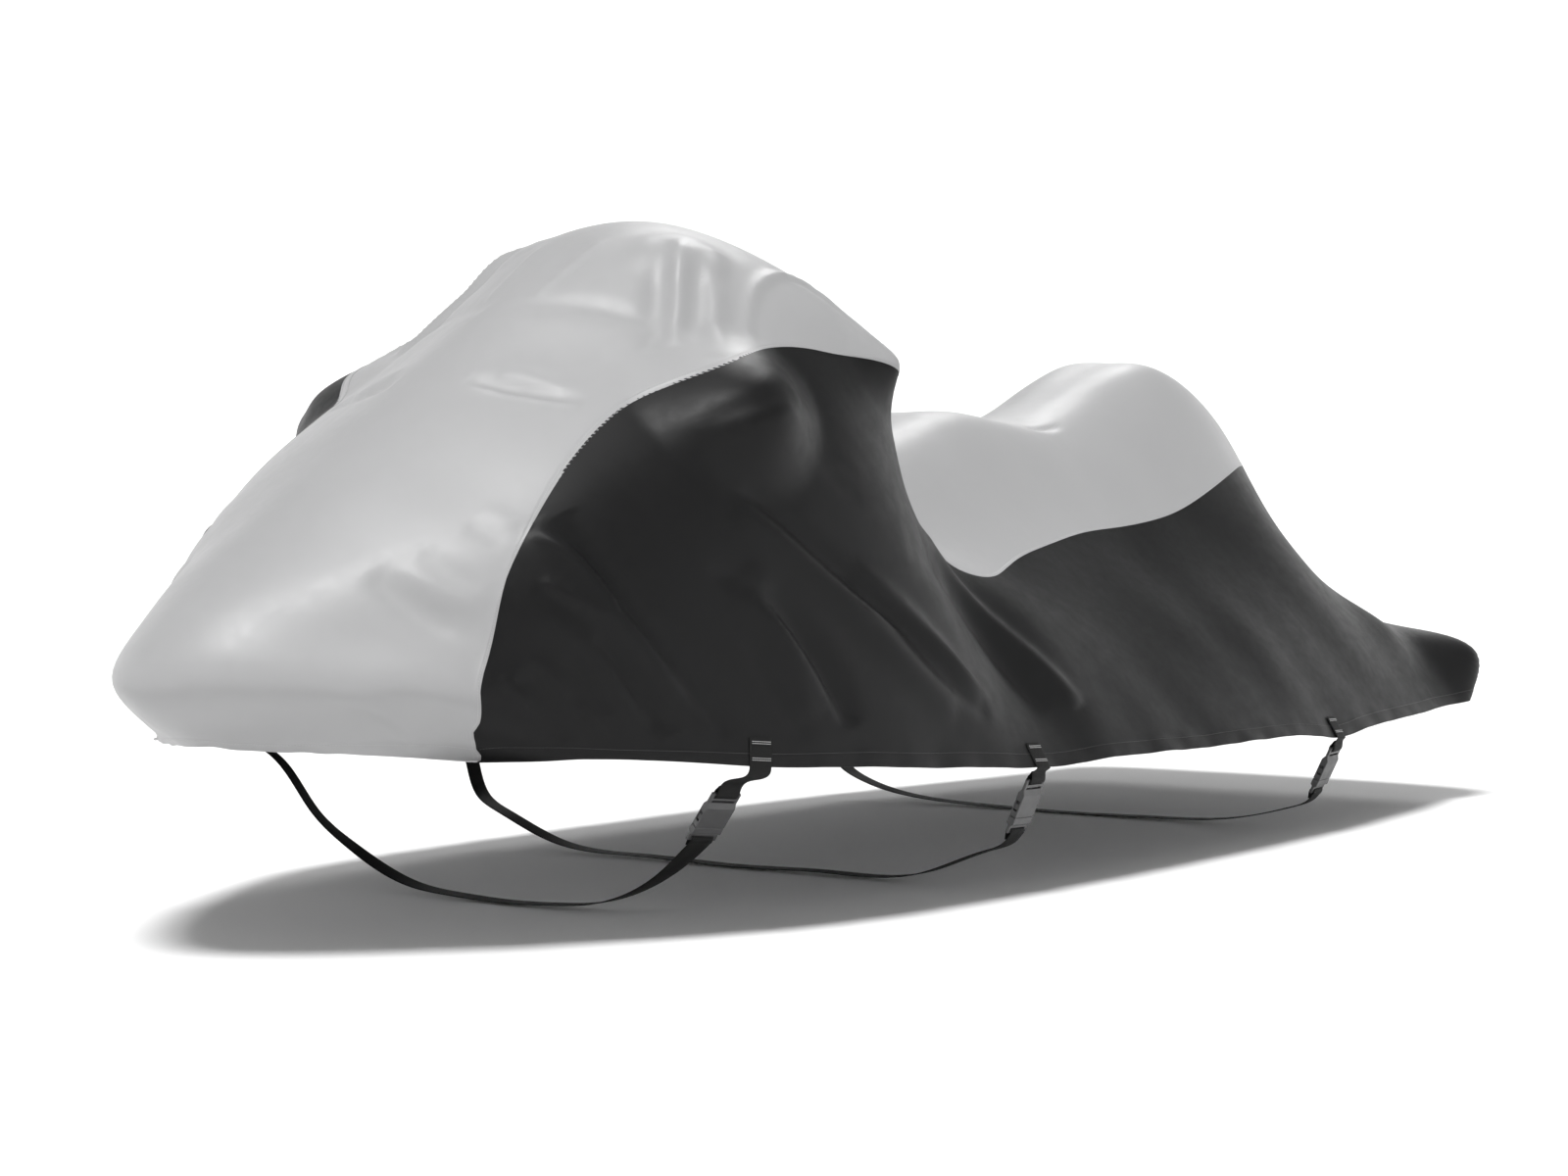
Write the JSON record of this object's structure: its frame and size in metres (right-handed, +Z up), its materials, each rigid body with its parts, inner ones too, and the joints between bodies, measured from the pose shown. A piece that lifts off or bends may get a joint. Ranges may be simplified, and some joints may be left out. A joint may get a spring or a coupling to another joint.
{
  "type": "personal watercraft cover",
  "caption": "Fitted two-tone fabric cover for a personal watercraft, drawn tight over bow, bars and seat, with buckled belly straps.",
  "frame": {"origin": "just under the inside of the cloth at the cover's highest place, over the handlebar", "axes": "+X to the bow, +Y to port, +Z up"},
  "size_m": [3.3003, 1.2246, 1.0713],
  "materials": {
    "silver_cloth": "satin coated polyester",
    "black_cloth": "matt coated polyester",
    "webbing": "woven webbing",
    "buckle": "moulded, fine texture"
  },
  "bodies": {
    "root": {"panel_silver": "silver_cloth", "panel_black_port": "black_cloth", "panel_black_starboard": "black_cloth", "web_upper_fore": "webbing", "buckle_socket_fore": "buckle", "buckle_plug_fore": "buckle", "web_long_fore": "webbing", "web_upper_mid": "webbing", "buckle_socket_mid": "buckle", "buckle_plug_mid": "buckle", "web_long_mid": "webbing", "web_upper_aft": "webbing", "buckle_socket_aft": "buckle", "buckle_plug_aft": "buckle", "web_long_aft": "webbing"}
  },
  "joints": []
}
